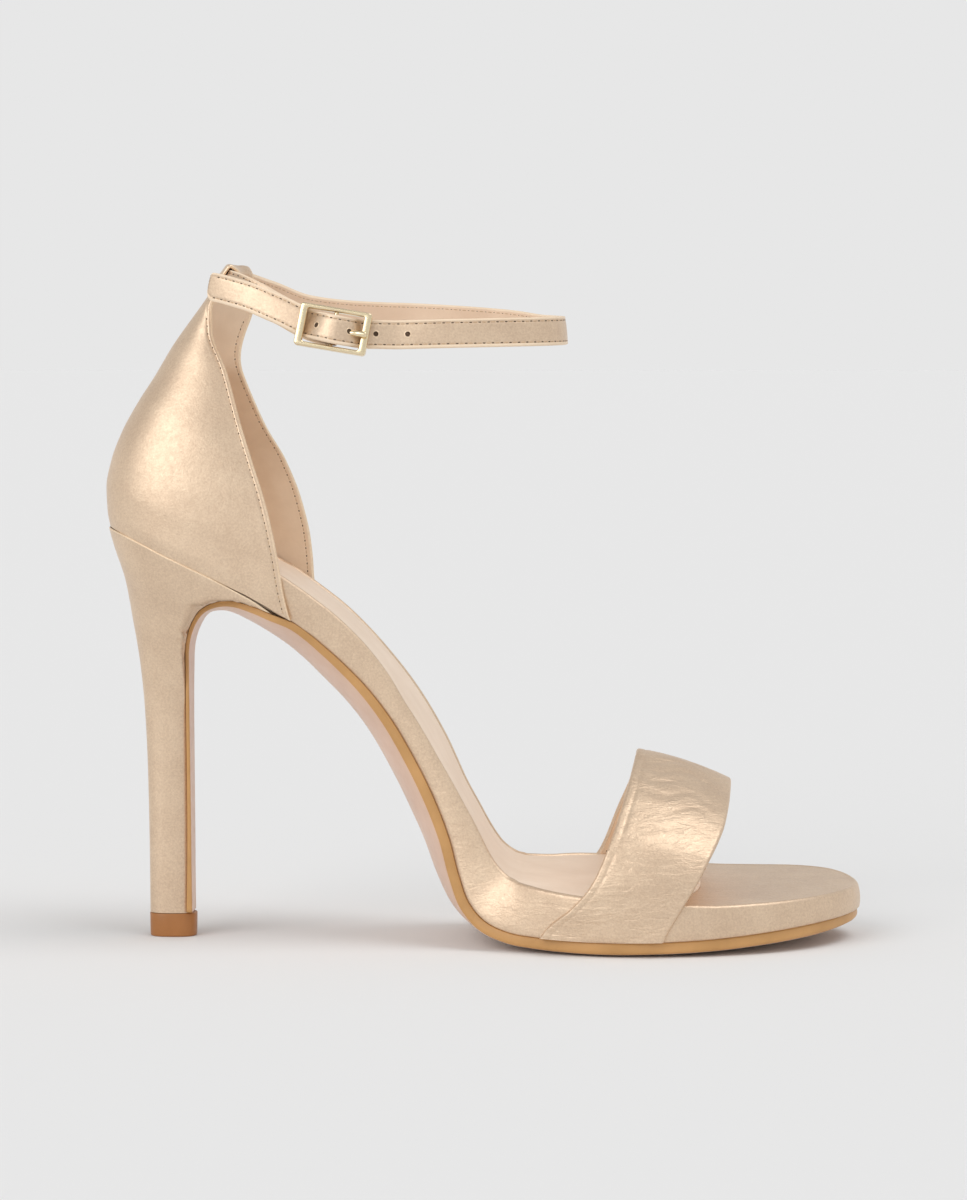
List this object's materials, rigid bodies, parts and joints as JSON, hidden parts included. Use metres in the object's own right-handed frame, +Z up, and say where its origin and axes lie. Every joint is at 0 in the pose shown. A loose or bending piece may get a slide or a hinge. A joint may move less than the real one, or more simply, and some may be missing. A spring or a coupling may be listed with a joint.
{
  "type": "strappy heeled sandal",
  "caption": "Right women's stiletto sandal with a wide vamp strap, closed heel counter, wrapped platform sole and buckled ankle strap.",
  "frame": {"origin": "middle of the heel's tread, on the floor", "axes": "+X from heel to toe, +Y to the inner side of the foot, +Z up"},
  "size_m": [0.2049, 0.0792, 0.1835],
  "materials": {
    "gold_leather": "metallic, soft sheen",
    "sock_leather": "matt",
    "sole_leather": "satin, with a tan painted edge",
    "lift_plastic": "satin",
    "buckle_metal": "polished, pale gold"
  },
  "bodies": {
    "root": {"outsole": "sole_leather", "platform": "gold_leather", "sock_liner": "sock_leather", "heel": "gold_leather", "top_lift": "lift_plastic", "heel_counter": "gold_leather", "vamp_strap": "gold_leather", "ankle_strap": "gold_leather", "buckle_frame": "buckle_metal", "buckle_prong": "buckle_metal"}
  },
  "joints": []
}
